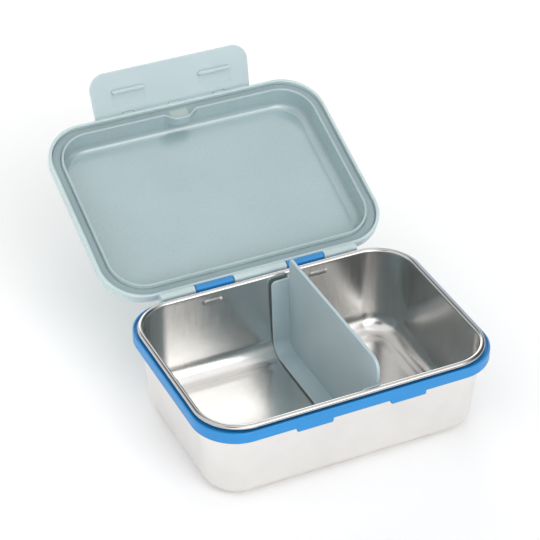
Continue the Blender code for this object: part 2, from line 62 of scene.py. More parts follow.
# Tub
STEEL = 0.7 * MM
CURL_RADIUS = 1.75 * MM
CURL_END_DEG = -130
CURL_INNER_STEPS = 4  # the curl's last faces, which take the inner wall's material
FLOOR_RISE = 0.7 * MM
PANEL_EDGE_U = -19.0 * MM
PANEL_STEP = 7.0 * MM
FOOT_FILLET = 8.9 * MM
INNER_FILLET = 11.0 * MM
FOOT_LEAN_DEG = 5.2
FOOT_U = -1.97 * MM  # outer wall where the foot's fillet ends
WALL_STATIONS = ((24.0, -0.6), (38.0, 0.35), (50.0, 0.7))  # outer wall: z, u
DIMPLE_X = 33.8 * MM
DIMPLE_Z = 47.7 * MM
DIMPLE_LENGTH = 12.8 * MM
DIMPLE_RADIUS = 1.75 * MM
DIMPLE_DEPTH = 0.3 * MM
DIMPLE_SLOPE = 1.5 * MM
DIMPLE_BAND = 0.8 * MM  # finely divided beyond the dimples' upper and lower edges
DIMPLE_END = 3.0 * MM  # finely divided at each end of a dimple

# Rim frame
FRAME_U = 5.4 * MM
FRAME_TOP = 51.8 * MM
FRAME_BOTTOM = 45.1 * MM
FRAME_LEDGE = 50.7 * MM
GROOVE_WALL = 1.1 * MM
BORE_U = 1.1 * MM
CATCH_X = (17.5 * MM, 39.0 * MM)
CATCH_DROP = 2.6 * MM
CATCH_CORNER = 1.0 * MM
CATCH_U = 3.6 * MM  # the catches' inner face
KNUCKLE_X = (17.2 * MM, 40.8 * MM)
KNUCKLE_RADIUS = 2.5 * MM
KNUCKLE_ARC = (201, -50)  # degrees, from the gusset's top round the back to its foot

# Lid
SKIRT_EDGE = 52.3 * MM
SKIRT_WALL = 1.7 * MM
SHOULDER = 59.2 * MM
LIP_U = (-2.5 * MM, -1.1 * MM)
LIP_EDGE = 52.1 * MM
CHANNEL_ROOF = 57.0 * MM
PANEL_Z = 66.9 * MM
PANEL_U = -3.3 * MM
PANEL_FILLET = 4.6 * MM
LID_TOP = 68.6 * MM
DOME_U = -1.4 * MM
POCKET_HALF_X = 11.5 * MM
POCKET_FLAT = 3.2 * MM
POCKET_DEPTH = 4.5 * MM
POCKET_FLOOR = (58.2 * MM, 58.8 * MM)
RAIL_RADIUS = 2.8 * MM
RAIL_END = 62.5 * MM
RAIL_ARC = (180, 400)  # degrees, from the skirt's edge round the back to the web
HINGE_GAP = 0.5 * MM
PIN_BORE = 1.3 * MM
PIN_REACH = 5.1 * MM  # how far the pins' bores run on into the rails

# Seal
SEAL_LOW = 54.97 * MM
SEAL_HIGH = 56.7 * MM
SEAL_U = (-1.0 * MM, 3.9 * MM)
SEAL_LIP_GAP = 0.35 * MM
TAB_HALF_X = 5.4 * MM
TAB_ROOT_U = 1.6 * MM

# Latch flap
BARREL_RADIUS = 1.7 * MM
FLAP_HALF_X = 51.8 * MM
FLAP_LENGTH = 27.8 * MM
FLAP_CORNER = 10.0 * MM
FLAP_TAPER = 0.8 * MM
FLAP_ROOT_CORNER = 1.7 * MM
FLAP_Y = (-66.3 * MM, -64.5 * MM)
RIB_X = (18.0 * MM, 38.7 * MM)
RIB_Z = (39.6 * MM, 41.9 * MM)
RIB_TIP_Y = -61.9 * MM
RIB_POCKET_Z = (41.2 * MM, 49.4 * MM)  # the shallow pocket under each rib
RIB_POCKET_SINK = 0.3 * MM
LUG_XS = (-30.0 * MM, 0.0, 30.0 * MM)
LUG_WIDTH = 7.0 * MM
LUG_GAP = 0.25 * MM
LUG_RADIUS = 1.9 * MM
NOTCH_REACH = 2.0 * MM
LATCH_BORE = 1.0 * MM
LATCH_BORE_END = 46.4 * MM

# Divider
DIVIDER_X = (14.4 * MM, 16.4 * MM)
DIVIDER_LEAN = math.radians(1.6)
DIVIDER_TOP = 66.3 * MM
DIVIDER_BOTTOM = 2.1 * MM
DIVIDER_FOOT_HALF_Y = 54.4 * MM
DIVIDER_TOP_HALF_Y = 53.9 * MM
DIVIDER_FOOT_RADIUS = 9.4 * MM
DIVIDER_FRONT_RADIUS = 7.0 * MM
DIVIDER_REAR_RADIUS = 2.5 * MM
FLANGE_EDGE_X = 3.6 * MM
FLANGE_TOP = 51.7 * MM
FLANGE_TOP_HALF_Y = 55.9 * MM
FLANGE_THICKNESS = 1.5 * MM
FLANGE_CORNER = 3.5 * MM
STEP_RADIUS = 0.7 * MM  # where the plate steps in above the flange

CORNER_STEPS = 28
SHARP_ANGLE = math.radians(32)

joints = {joint["name"]: joint for joint in frame["joints"]}
HINGE = Vector(joints["lid_hinge"]["pos_m"])
LID_OPEN = math.radians(joints["lid_hinge"]["range_deg"][1])
LATCH_OPEN = math.radians(joints["latch_hinge"]["range_deg"][1])
LATCH = Vector((0.0, -65.3 * MM, 56.3 * MM))  # the flap's axis with the lid closed


# ---------------------------------------------------------------- shapes


def arc(centre, radius, start_deg, end_deg, steps):
    """Points of an arc, both ends included."""
    points = []
    for i in range(steps + 1):
        angle = math.radians(start_deg + (end_deg - start_deg) * i / steps)
        points.append((centre[0] + radius * math.cos(angle), centre[1] + radius * math.sin(angle)))
    return points


def spread(start, end, count):
    """count + 1 evenly spaced values from start to end."""
    return [start + (end - start) * i / count for i in range(count + 1)]


def rounded(corners, closed=False):
    """A path through (a, b, radius) corners, with an arc of that radius at each corner."""
    path = []
    count = len(corners)
    for i, (a, b, radius) in enumerate(corners):
        here = Vector((a, b))
        at_end = not closed and i in (0, count - 1)
        if radius == 0.0 or at_end:
            path.append((a, b))
            continue
        before = (Vector(corners[i - 1][:2]) - here).normalized()
        after = (Vector(corners[(i + 1) % count][:2]) - here).normalized()
        half = before.angle(after) / 2
        inset = radius / math.tan(half)
        start, end = here + before * inset, here + after * inset
        centre = here + (before + after).normalized() * (radius / math.sin(half))
        steps = max(2, round(math.degrees(math.pi - 2 * half) / 15))
        for step in range(steps + 1):
            spoke = (start - centre).slerp(end - centre, step / steps)  # of unit length
            path.append(tuple(centre + spoke * radius))
    return path


def steel_outline(u):
    """The rim line offset by u: half its length, half its width and its corner radius."""
    return RIM_HALF_X + u, RIM_HALF_Y + u, RIM_RADIUS + u


def plastic_outline(u):
    """The lid's and the frame's sections, which beyond the rim line grow towards the skirt."""
    if u <= 0.0:
        return steel_outline(u)
    return RIM_HALF_X + u, RIM_HALF_Y + u * SKIRT_GROW_Y, RIM_RADIUS + u * SKIRT_GROW_RADIUS


def ring_points(size, xs):
    """A rounded rectangle with extra points at xs on its two long sides."""
    half_x, half_y, radius = size
    points = []
    for sign_x, sign_y, start in ((1, 1, 0), (-1, 1, 90), (-1, -1, 180), (1, -1, 270)):
        centre = (sign_x * (half_x - radius), sign_y * (half_y - radius))
        points += arc(centre, radius, start, start + 90, CORNER_STEPS)
        if start == 0:
            points += [(x, half_y) for x in xs[::-1]]
        elif start == 180:
            points += [(x, -half_y) for x in xs]
    return points


def new_object(name, bm, materials):
    bm.normal_update()
    bmesh.ops.recalc_face_normals(bm, faces=bm.faces)
    mesh = bpy.data.meshes.new(name)
    bm.to_mesh(mesh)
    bm.free()
    for material in materials:
        mesh.materials.append(material)
    obj = bpy.data.objects.new(name, mesh)
    bpy.context.scene.collection.objects.link(obj)
    return obj


def loft(name, path, outline, xs, materials, shape=None, closed=False, zones=()):
    """Sweeps a (u, z) path round an outline.

    shape moves each point. The faces after the path's first zones[i] points take material i + 1.
    """
    bm = bmesh.new()
    rings = []
    for u, z in path:
        ring = []
        for x, y in ring_points(outline(u), xs):
            place = Vector((x, y, z))
            ring.append(bm.verts.new(shape(place, u) if shape else place))
        rings.append(ring)
    pairs = list(zip(rings, rings[1:]))
    if closed:
        pairs.append((rings[-1], rings[0]))
    count = len(rings[0])
    for index, (lower, upper) in enumerate(pairs):
        kind = sum(index >= zone for zone in zones)
        for i in range(count):
            j = (i + 1) % count
            face = bm.faces.new((lower[i], lower[j], upper[j], upper[i]))
            face.material_index = kind
    if not closed:
        bm.faces.new(rings[0])
        bm.faces.new(rings[-1]).material_index = len(zones)
    return new_object(name, bm, materials)


def prism(name, outline, axis, start, end, materials, edge=0.3 * MM):
    """Extrudes (y, z) points along X, or (x, z) points along Y, and rounds the rims by edge."""
    along = Vector((1, 0, 0)) if axis == "X" else Vector((0, 1, 0))
    bm = bmesh.new()
    verts = []
    for a, b in outline:
        place = Vector((start, a, b)) if axis == "X" else Vector((a, start, b))
        verts.append(bm.verts.new(place))
    face = bm.faces.new(verts)
    grown = bmesh.ops.extrude_face_region(bm, geom=[face])["geom"]
    moved = [item for item in grown if isinstance(item, bmesh.types.BMVert)]
    bmesh.ops.translate(bm, verts=moved, vec=along * (end - start))
    if edge:
        caps = [f for f in bm.faces if len(f.verts) == len(outline)]
        rims = list({e for cap in caps for e in cap.edges})
        bmesh.ops.bevel(bm, geom=rims, offset=edge, segments=3, profile=0.5, affect="EDGES")
    return new_object(name, bm, materials)


def rod(name, radius, x_range, y, z, materials, steps=32):
    outline = arc((y, z), radius, 0, 360, steps)[:-1]
    return prism(name, outline, "X", *x_range, materials, edge=0.0)


def block(name, low, high, materials):
    outline = [(low[1], low[2]), (high[1], low[2]), (high[1], high[2]), (low[1], high[2])]
    return prism(name, outline, "X", low[0], high[0], materials, edge=0.0)


def combine(base, tools):
    """Applies each (operation, piece) Boolean to base in turn, and removes the pieces."""
    for operation, tool in tools:
        modifier = base.modifiers.new("Combine", "BOOLEAN")
        modifier.operation = operation
        modifier.solver = "EXACT"
        modifier.material_mode = "TRANSFER"
        modifier.object = tool
    bpy.context.view_layer.update()
    graph = bpy.context.evaluated_depsgraph_get()
    mesh = bpy.data.meshes.new_from_object(base.evaluated_get(graph))
    base.modifiers.clear()
    base.data = mesh
    for _, tool in tools:
        bpy.data.objects.remove(tool, do_unlink=True)
    return base


def turn(obj, point, axis, angle):
    """Turns the mesh about an axis through a point."""
    there, back = Matrix.Translation(point), Matrix.Translation(-point)
    obj.data.transform(there @ Matrix.Rotation(angle, 4, axis) @ back)
    return obj


def swing_lid(obj):
    """From the closed lid's place to where the CAD's lid rests."""
    return turn(obj, HINGE, "X", -LID_OPEN)


def dress(obj, body, nodes):
    """Shades the piece, attaches it to its body and hides the CAD nodes it stands for."""
    obj.data.shade_smooth()
    obj.data.set_sharp_from_angle(angle=SHARP_ANGLE)
    modifier = obj.modifiers.new("Even shading", "WEIGHTED_NORMAL")
    modifier.keep_sharp = True
    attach(obj, body)
    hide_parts(*nodes)
    return obj


# ---------------------------------------------------------------- materials

EVEN = (1.0, 1.0, 1.0)  # a noise that isn't stretched
STEEL_CLOUD_SCALE = 38.0
STEEL_GRAIN_SCALE = 900.0
PLASTIC_CLOUD_SCALE = 26.0
PLASTIC_SKIN_SCALE = 2600.0
FLOOR_CLOUD_SCALE = 3.0
STEEL_BUMP = 0.012 * MM
COAT_ROUGHNESS = 0.12
COAT_IOR = 1.8
SUBSURFACE_DEPTH = 1.6 * MM


def new_material(name, roughness, metallic=0.0):
    material = bpy.data.materials.new(name)
    material.use_nodes = True
    nodes, links = material.node_tree.nodes, material.node_tree.links
    shader = nodes["Principled BSDF"]
    shader.inputs["Roughness"].default_value = roughness
    shader.inputs["Metallic"].default_value = metallic
    return material, nodes, links, shader


def add_noise(nodes, links, stretch, scale, detail=3.0):
    """A noise texture over the object's own coordinates, with its axes stretched."""
    coordinates = nodes.new("ShaderNodeTexCoord")
    mapping = nodes.new("ShaderNodeMapping")
    mapping.inputs["Scale"].default_value = stretch
    links.new(coordinates.outputs["Object"], mapping.inputs["Vector"])
    noise = nodes.new("ShaderNodeTexNoise")
    noise.inputs["Scale"].default_value = scale
    noise.inputs["Detail"].default_value = detail
    links.new(mapping.outputs["Vector"], noise.inputs["Vector"])
    return noise.outputs["Fac"]


def add_ramp(nodes, links, value, low, high, start=0.35, end=0.65):
    """Maps a noise to a range of numbers or colours."""
    ramp = nodes.new("ShaderNodeValToRGB")
    links.new(value, ramp.inputs["Fac"])
    first, last = ramp.color_ramp.elements
    first.position, last.position = start, end
    first.color, last.color = low, high
    return ramp.outputs["Color"]


def add_bump(nodes, links, shader, height, distance, strength=1.0):
    bump = nodes.new("ShaderNodeBump")
    bump.inputs["Distance"].default_value = distance
    bump.inputs["Strength"].default_value = strength
    links.new(height, bump.inputs["Height"])
    links.new(bump.outputs["Normal"], shader.inputs["Normal"])


def grey(value):
    return (value, value, value, 1.0)


def tint(colour, factor):
    """The colour made lighter or darker."""
    return (*[min(1.0, channel * factor) for channel in colour], 1.0)


def steel_material(name, colour, roughness, streak, stretch):
    """Satin steel: long fine streaks that vary the gloss and barely move the surface."""
    material, nodes, links, shader = new_material(name, roughness, 1.0)
    cloud = add_noise(nodes, links, EVEN, STEEL_CLOUD_SCALE)
    drift = add_ramp(nodes, links, cloud, tint(colour, 0.965), tint(colour, 1.02))
    links.new(drift, shader.inputs["Base Color"])
    grain = add_noise(nodes, links, stretch, STEEL_GRAIN_SCALE, 5.0)
    gloss = add_ramp(nodes, links, grain, grey(roughness - streak), grey(roughness + streak))
    links.new(gloss, shader.inputs["Roughness"])
    add_bump(nodes, links, shader, grain, STEEL_BUMP, 0.3)
    return material


def plastic_material(name, colour, roughness, subsurface=0.0, coat=0.0, grain=0.02, mottle=0.03):
    """Moulded plastic: a fine eroded skin and a faint, slow drift of colour."""
    material, nodes, links, shader = new_material(name, roughness)
    cloud = add_noise(nodes, links, EVEN, PLASTIC_CLOUD_SCALE)
    drift = add_ramp(nodes, links, cloud, tint(colour, 1 - mottle), tint(colour, 1 + mottle))
    links.new(drift, shader.inputs["Base Color"])
    skin = add_noise(nodes, links, EVEN, PLASTIC_SKIN_SCALE, 2.0)
    gloss = add_ramp(nodes, links, skin, grey(roughness - 0.05), grey(roughness + 0.05))
    links.new(gloss, shader.inputs["Roughness"])
    add_bump(nodes, links, shader, skin, grain * MM, 0.6)
    shader.inputs["Coat Weight"].default_value = coat
    shader.inputs["Coat Roughness"].default_value = COAT_ROUGHNESS
    shader.inputs["Coat IOR"].default_value = COAT_IOR
    if subsurface:
        shader.inputs["Subsurface Weight"].default_value = subsurface
        shader.inputs["Subsurface Radius"].default_value = (1.0, 1.0, 1.0)
        shader.inputs["Subsurface Scale"].default_value = SUBSURFACE_DEPTH
    return material


LID_COLOUR = (0.305, 0.415, 0.437)
# lighter than the lid's plastic: a painted highlight along the lip's edge
LIP_HIGHLIGHT_COLOUR = (0.385, 0.48, 0.495)
# lighter than the lid's plastic: painted light shining through the thin skirt, rails and lugs
THIN_LIT_COLOUR = (0.50, 0.605, 0.615)
DIVIDER_LIT_COLOUR = (0.415, 0.525, 0.56)
FLAP_LIT_COLOUR = (0.465, 0.56, 0.585)
SEAL_COLOUR = (0.29, 0.375, 0.395)
TAB_COLOUR = (0.40, 0.47, 0.46)
BLUE = (0.014, 0.235, 0.575)
# One steel in three tints: the inside darker as painted shade in the tub, the rolled rim darker
# still as painted shade on its bright reflection, the outside lighter as painted light.
INNER_SHADED_STEEL_COLOUR = (0.70, 0.69, 0.675)
RIM_SHADED_STEEL_COLOUR = (0.53, 0.52, 0.51)
OUTER_LIT_STEEL_COLOUR = (0.83, 0.81, 0.785)
WIRE_COLOUR = (0.66, 0.65, 0.64)

# Steel: colour, roughness, how far the roughness varies, and the streaks' stretch along X, Y, Z
# The finishes differ in roughness; their colours differ by painted shade inside and on the rim and
# painted light outside.
inner_steel_painted_shade = steel_material("satin_inner_steel_painted_shade", INNER_SHADED_STEEL_COLOUR, 0.22, 0.03, (1.0, 1.0, 0.04))
outer_steel_painted_light = steel_material("satin_outer_steel_painted_light", OUTER_LIT_STEEL_COLOUR, 0.33, 0.04, (0.03, 0.03, 1.0))
rim_steel_painted_shade = steel_material("polished_rim_steel_painted_shade", RIM_SHADED_STEEL_COLOUR, 0.12, 0.03, (0.05, 0.05, 1.0))
wire_steel = steel_material("drawn_wire", WIRE_COLOUR, 0.28, 0.06, (0.05, 1.0, 1.0))

# Plastic: colour, roughness, the share of light that goes through the skin, and the gloss coat
blue_plastic = plastic_material("blue_plastic", BLUE, 0.38)
lid_plastic = plastic_material("lid_plastic", LID_COLOUR, 0.28, 0.15, 1.0)
# the lip's edge: the lid's plastic made lighter, a painted highlight
lip_plastic_painted_highlight = plastic_material("lip_plastic_painted_highlight", LIP_HIGHLIGHT_COLOUR, 0.3, 0.3)
# the thin skirt, rails and lugs: the lid's plastic made lighter, painted light through thin walls
thin_plastic_painted_light = plastic_material("thin_lid_plastic_painted_light", THIN_LIT_COLOUR, 0.3, 0.5)
# the flap's colour is lighter than the lid's: painted light shining through the thin flap
flap_plastic = plastic_material("flap_plastic", FLAP_LIT_COLOUR, 0.42, 0.25)
# the divider is the lid's plastic made lighter: painted light for the light it lacks down in the
# tub
divider_plastic = plastic_material("divider_plastic", DIVIDER_LIT_COLOUR, 0.4, 0.15)
silicone = plastic_material("seal_silicone", SEAL_COLOUR, 0.55, 0.2)
pale_silicone = plastic_material("pull_tab_silicone", TAB_COLOUR, 0.5, 0.3)


# ---------------------------------------------------------------- tub


def wall_u(z):
    """The outer wall's offset at height z, on a smooth curve through the stations."""
    foot_z = FLOOR_RISE + FOOT_FILLET * (1 - math.sin(math.radians(FOOT_LEAN_DEG)))
    stations = [(foot_z, FOOT_U)] + [(a * MM, b * MM) for a, b in WALL_STATIONS]
    total = 0.0
    for i, (zi, ui) in enumerate(stations):
        weight = 1.0
        for j, (zj, _) in enumerate(stations):
            if i != j:
                weight *= (z - zj) / (zi - zj)
        total += weight * ui
    return total


def floor_path(skin):
    """The floor from its middle to the foot's fillet, at one face of the sheet."""
    path = [(PANEL_EDGE_U - 2 * MM, skin)]
    for share in spread(0.0, 1.0, 8):
        rise = FLOOR_RISE * share * share * (3 - 2 * share)
        path.append((PANEL_EDGE_U + share * PANEL_STEP, rise + skin))
    return path


def foot_path(skin, radius):
    """The fillet from the floor to the leaning wall, at one face of the sheet."""
    lean = math.radians(FOOT_LEAN_DEG)
    nominal = FOOT_FILLET - skin
    grown = radius - nominal
    across = FOOT_U - FOOT_FILLET * math.cos(lean) - grown * (1 - math.sin(lean)) / math.cos(lean)
    return arc((across, FLOOR_RISE + skin + radius), radius, -90, -FOOT_LEAN_DEG, 20)


def wall_path(skin, foot_radius):
    """The wall from the foot's fillet to above the dimples, at one face of the sheet."""
    foot_z = FLOOR_RISE + skin + foot_radius * (1 - math.sin(math.radians(FOOT_LEAN_DEG)))
    dimple_low = DIMPLE_Z - DIMPLE_RADIUS - DIMPLE_BAND
    dimple_high = DIMPLE_Z + DIMPLE_RADIUS + DIMPLE_BAND
    heights = spread(foot_z, dimple_low, 12)[1:-1] + spread(dimple_low, dimple_high, 17)
    return [(min(wall_u(z), STEEL) - skin, z) for z in heights]


def dimpled(place, u):
    """Presses the four pill-shaped dimples out of the long walls."""
    flat = abs(place.x) < RIM_HALF_X - RIM_RADIUS and abs(u) < 1.2 * MM
    if not flat or abs(place.z - DIMPLE_Z) > 2 * DIMPLE_RADIUS:
        return place
    reach = DIMPLE_LENGTH / 2 - DIMPLE_RADIUS
    along = max(abs(abs(place.x) - DIMPLE_X) - reach, 0.0)
    distance = math.hypot(along, place.z - DIMPLE_Z)
    share = min(max((DIMPLE_RADIUS - distance) / DIMPLE_SLOPE, 0.0), 1.0)
    push = DIMPLE_DEPTH * share * share * (3 - 2 * share)
    return place + Vector((0.0, math.copysign(push, place.y), 0.0))


def dimple_xs():
    """Points along the long walls, close together at the dimples' ends."""
    low = DIMPLE_X - DIMPLE_LENGTH / 2 - 0.6 * MM
    high = DIMPLE_X + DIMPLE_LENGTH / 2 + 0.6 * MM
    fine = spread(low, low + DIMPLE_END, 12)
    fine += spread(low + DIMPLE_END, high - DIMPLE_END, 8)[1:-1]
    fine += spread(high - DIMPLE_END, high, 12)
    right = [6 * MM, 16 * MM] + fine + [50 * MM]
    return [-x for x in right[::-1]] + right


def make_tub():
    """Out along the underside, up the outer wall, round the curl and back down the inside."""
    curl = (CURL_RADIUS, RIM_TOP - CURL_RADIUS)
    outside = floor_path(0.0) + foot_path(0.0, FOOT_FILLET) + wall_path(0.0, FOOT_FILLET)
    under_curl = arc(curl, CURL_RADIUS - STEEL, 180, CURL_END_DEG, 20)
    over_curl = arc(curl, CURL_RADIUS, CURL_END_DEG, 180, 30)
    inside = floor_path(STEEL) + foot_path(STEEL, INNER_FILLET) + wall_path(STEEL, INNER_FILLET)
    path = outside + under_curl + over_curl + inside[::-1]
    zones = (len(outside), len(outside + under_curl + over_curl) - CURL_INNER_STEPS)
    materials = [outer_steel_painted_light, rim_steel_painted_shade, inner_steel_painted_shade]
    tub = loft("tub", path, steel_outline, dimple_xs(), materials, dimpled, zones=zones)
    return dress(tub, "tub", ["steel_tub"])


# ---------------------------------------------------------------- rim frame


def catch_drop(x):
    """How far the band's lower edge steps down at x, with rounded corners."""
    low, high = CATCH_X
    reach = abs(x)
    if not low <= reach <= high:
        return 0.0
    corner = min(reach - low, high - reach)
    if corner >= CATCH_CORNER:
        return CATCH_DROP
    rise = CATCH_CORNER - corner
    return CATCH_DROP - CATCH_CORNER + math.sqrt(max(CATCH_CORNER**2 - rise**2, 0.0))


def with_catches(place, u):
    """Lets the two catches down from the front of the band's outer wall."""
    low_edge = place.z < FRAME_BOTTOM + 1.0 * MM
    if place.y > 0 or not low_edge or u < CATCH_U - 0.01 * MM:
        return place
    return place - Vector((0.0, 0.0, catch_drop(place.x)))


def catch_xs():
    """Points along the band's long sides, close together at the catches' corners."""
    low, high = CATCH_X
    hair = 0.02 * MM
    jog = [low - hair] + spread(low, low + CATCH_CORNER, 5)
    back = spread(high - CATCH_CORNER, high, 5) + [high + hair]
    middle = spread(low + CATCH_CORNER, high - CATCH_CORNER, 4)[1:-1]
    right = [8 * MM] + jog + middle + back + [50 * MM]
    return [-x for x in right[::-1]] + right


def knuckle_outline():
    """A hinge knuckle's section: a barrel on a gusset that grows from the frame's rear face."""
    root = RIM_HALF_Y + FRAME_U * SKIRT_GROW_Y - 0.8 * MM
    barrel = arc((HINGE.y, HINGE.z), KNUCKLE_RADIUS, *KNUCKLE_ARC, 28)
    return [(root, FRAME_TOP - 0.4 * MM), *barrel, (root, FRAME_BOTTOM + 0.9 * MM)]


def make_frame():
    top, inner = FRAME_U, FRAME_U - GROOVE_WALL
    corners = [  # u, z and the corner's radius
        (CATCH_U, FRAME_BOTTOM, 0.0),
        (top, FRAME_BOTTOM, 0.5 * MM),
        (top, FRAME_BOTTOM + 1.2 * MM, 0.0),
        (top, FRAME_TOP, 0.45 * MM),
        (inner, FRAME_TOP, 0.35 * MM),
        (inner, FRAME_LEDGE, 0.2 * MM),
        (BORE_U, FRAME_LEDGE, 0.25 * MM),
        (BORE_U, FRAME_BOTTOM, 0.3 * MM),
        (CATCH_U - 0.05 * MM, FRAME_BOTTOM, 0.0),
    ]
    path = rounded(corners, closed=True)
    blue = [blue_plastic]
    band = loft("rim_band", path, plastic_outline, catch_xs(), blue, with_catches, closed=True)
    tools = []
    for sign in (-1, 1):
        ends = sorted((sign * KNUCKLE_X[0], sign * KNUCKLE_X[1]))
        tools.append(("UNION", prism("knuckle", knuckle_outline(), "X", *ends, blue)))
        bore = rod("bore", PIN_BORE, (ends[0] - MM, ends[1] + MM), HINGE.y, HINGE.z, blue)
        tools.append(("DIFFERENCE", bore))
    return dress(combine(band, tools), "tub", ["rim_frame"])


# ---------------------------------------------------------------- lid


def pocket_bump(x, half_width, depth):
    """How far an edge bows inwards at x: flat in the middle, with S-shaped sides."""
    share = (half_width - abs(x)) / (half_width - POCKET_FLAT)
    share = min(max(share, 0.0), 1.0)
    return depth * share * share * (3 - 2 * share)


def with_pocket(place, u):
    """Bows the front of the lip inwards round the finger pocket, down to the pocket's floor."""
    if u > -0.6 * MM or place.y > 0 or place.z > POCKET_FLOOR[1]:
        return place
    share = (POCKET_FLOOR[1] - place.z) / (POCKET_FLOOR[1] - POCKET_FLOOR[0])
    share = min(share, 1.0)
    bow = pocket_bump(place.x, POCKET_HALF_X, POCKET_DEPTH)
    return place + Vector((0.0, bow * share * share * (3 - 2 * share), 0.0))


def pocket_xs():
    """Points along the lid's long sides, close together round the finger pocket."""
    middle = spread(-14 * MM, 14 * MM, 40)
    return [-50 * MM, -32 * MM, -20 * MM] + middle + [20 * MM, 32 * MM, 50 * MM]


def lid_path():
    """From the panel's underside over lip, channel, skirt and shoulder to the dome's top."""
    slope = (LIP_U[0] - PANEL_U) / (LIP_EDGE - PANEL_Z)
    floor = [(PANEL_U + slope * (z - PANEL_Z), z, 0.0) for z in spread(*POCKET_FLOOR[::-1], 4)]
    roof = CHANNEL_ROOF
    corners = [  # u, z and the corner's radius
        (PANEL_U - 16 * MM, PANEL_Z, 0.0),
        (PANEL_U, PANEL_Z, PANEL_FILLET),
        *floor,
        (LIP_U[0], LIP_EDGE, 0.55 * MM),
        (LIP_U[1], LIP_EDGE, 0.55 * MM),
        (LIP_U[1], roof, 0.3 * MM),
        (SKIRT_U - SKIRT_WALL, roof, 0.3 * MM),
        (SKIRT_U - SKIRT_WALL, SKIRT_EDGE, 0.5 * MM),
        (SKIRT_U, SKIRT_EDGE, 0.6 * MM),
        (SKIRT_U, SHOULDER, 1.6 * MM),
        (DOME_U + 1.0 * MM, SHOULDER + 0.1 * MM, 1.0 * MM),
        (DOME_U - 0.1 * MM, LID_TOP, 2.6 * MM),
        (DOME_U - 18 * MM, LID_TOP, 0.0),
    ]
    return rounded(corners)


def rail_outline():
    """A hinge rail's section: a barrel that a web joins to the skirt's rear face."""
    root = RIM_HALF_Y + SKIRT_U * SKIRT_GROW_Y - 0.7 * MM
    barrel = arc((HINGE.y, HINGE.z), RAIL_RADIUS, *RAIL_ARC, 28)
    return [*barrel, (root, SHOULDER - 1.6 * MM), (root, SKIRT_EDGE)]


def lug_outline():
    """A latch lug's section: a barrel standing off the skirt's front face."""
    root = -(RIM_HALF_Y + SKIRT_U * SKIRT_GROW_Y) + 0.6 * MM
    barrel = arc((LATCH.y, LATCH.z), LUG_RADIUS, 90, 270, 16)
    return [*barrel, (root, LATCH.z - LUG_RADIUS), (root, LATCH.z + LUG_RADIUS)]


def lid_zones(path):
    """Where the path enters and leaves the thin lip edge and the thin skirt."""
    low = [i for i, (u, z) in enumerate(path) if z < LIP_EDGE + 0.7 * MM]
    lip = [i for i in low if path[i][0] < 0.0]
    skirt = [i for i in low if path[i][0] > 0.0]
    dome = [i for i, (u, z) in enumerate(path) if i > skirt[0] and u < SKIRT_U - 1.5 * MM]
    return lip[0], lip[-1], skirt[0], dome[0]


def make_lid():
    plastic = [thin_plastic_painted_light]
    path = lid_path()
    # the lip's edge and the thin skirt take lighter copies of the lid's plastic: a painted
    # highlight and painted light
    materials = [lid_plastic, lip_plastic_painted_highlight, lid_plastic, thin_plastic_painted_light, lid_plastic]
    zones = lid_zones(path)
    lid = loft("lid", path, plastic_outline, pocket_xs(), materials, with_pocket, zones=zones)
    inner, outer = KNUCKLE_X[0] - HINGE_GAP, KNUCKLE_X[1] + HINGE_GAP
    tools = []
    for ends in ((-RAIL_END, -outer), (-inner, inner), (outer, RAIL_END)):
        tools.append(("UNION", prism("rail", rail_outline(), "X", *ends, plastic)))
    for x in LUG_XS:
        ends = (x - LUG_WIDTH / 2, x + LUG_WIDTH / 2)
        tools.append(("UNION", prism("lug", lug_outline(), "X", *ends, plastic)))
        bore = rod("bore", LATCH_BORE, (x - LUG_WIDTH, x + LUG_WIDTH), LATCH.y, LATCH.z, plastic)
        tools.append(("DIFFERENCE", bore))
    for sign in (-1, 1):
        ends = sorted((sign * (KNUCKLE_X[0] - PIN_REACH), sign * (KNUCKLE_X[1] + PIN_REACH)))
        tools.append(("DIFFERENCE", rod("bore", PIN_BORE, ends, HINGE.y, HINGE.z, plastic)))
    return dress(swing_lid(combine(lid, tools)), "lid", ["lid_shell"])


def with_tab(place, u):
    """Draws the seal's inner edge out into the pull tab that fills the finger pocket."""
    if u > 1.0 * MM or place.y > 0:
        return place
    bow = pocket_bump(place.x, POCKET_HALF_X - SEAL_LIP_GAP, POCKET_DEPTH - SEAL_LIP_GAP)
    return place + Vector((0.0, bow, 0.0))


def make_seal():
    low_u, high_u = SEAL_U
    corners = [  # u, z and the corner's radius
        (low_u, SEAL_LOW, 0.4 * MM),
        (TAB_ROOT_U, SEAL_LOW, 0.0),
        (high_u, SEAL_LOW, 0.4 * MM),
        (high_u, SEAL_HIGH, 0.3 * MM),
        (low_u, SEAL_HIGH, 0.3 * MM),
    ]
    path = rounded(corners, closed=True)
    materials = [silicone, pale_silicone]
    seal = loft("seal", path, plastic_outline, pocket_xs(), materials, with_tab, closed=True)
    for face in seal.data.polygons:
        at_tab = face.center.y < 0 and abs(face.center.x) < TAB_HALF_X
        if at_tab and face.center.y > -(RIM_HALF_Y + TAB_ROOT_U * SKIRT_GROW_Y):
            face.material_index = 1
    return dress(swing_lid(seal), "lid", ["lid_gasket"])


# ---------------------------------------------------------------- latch flap


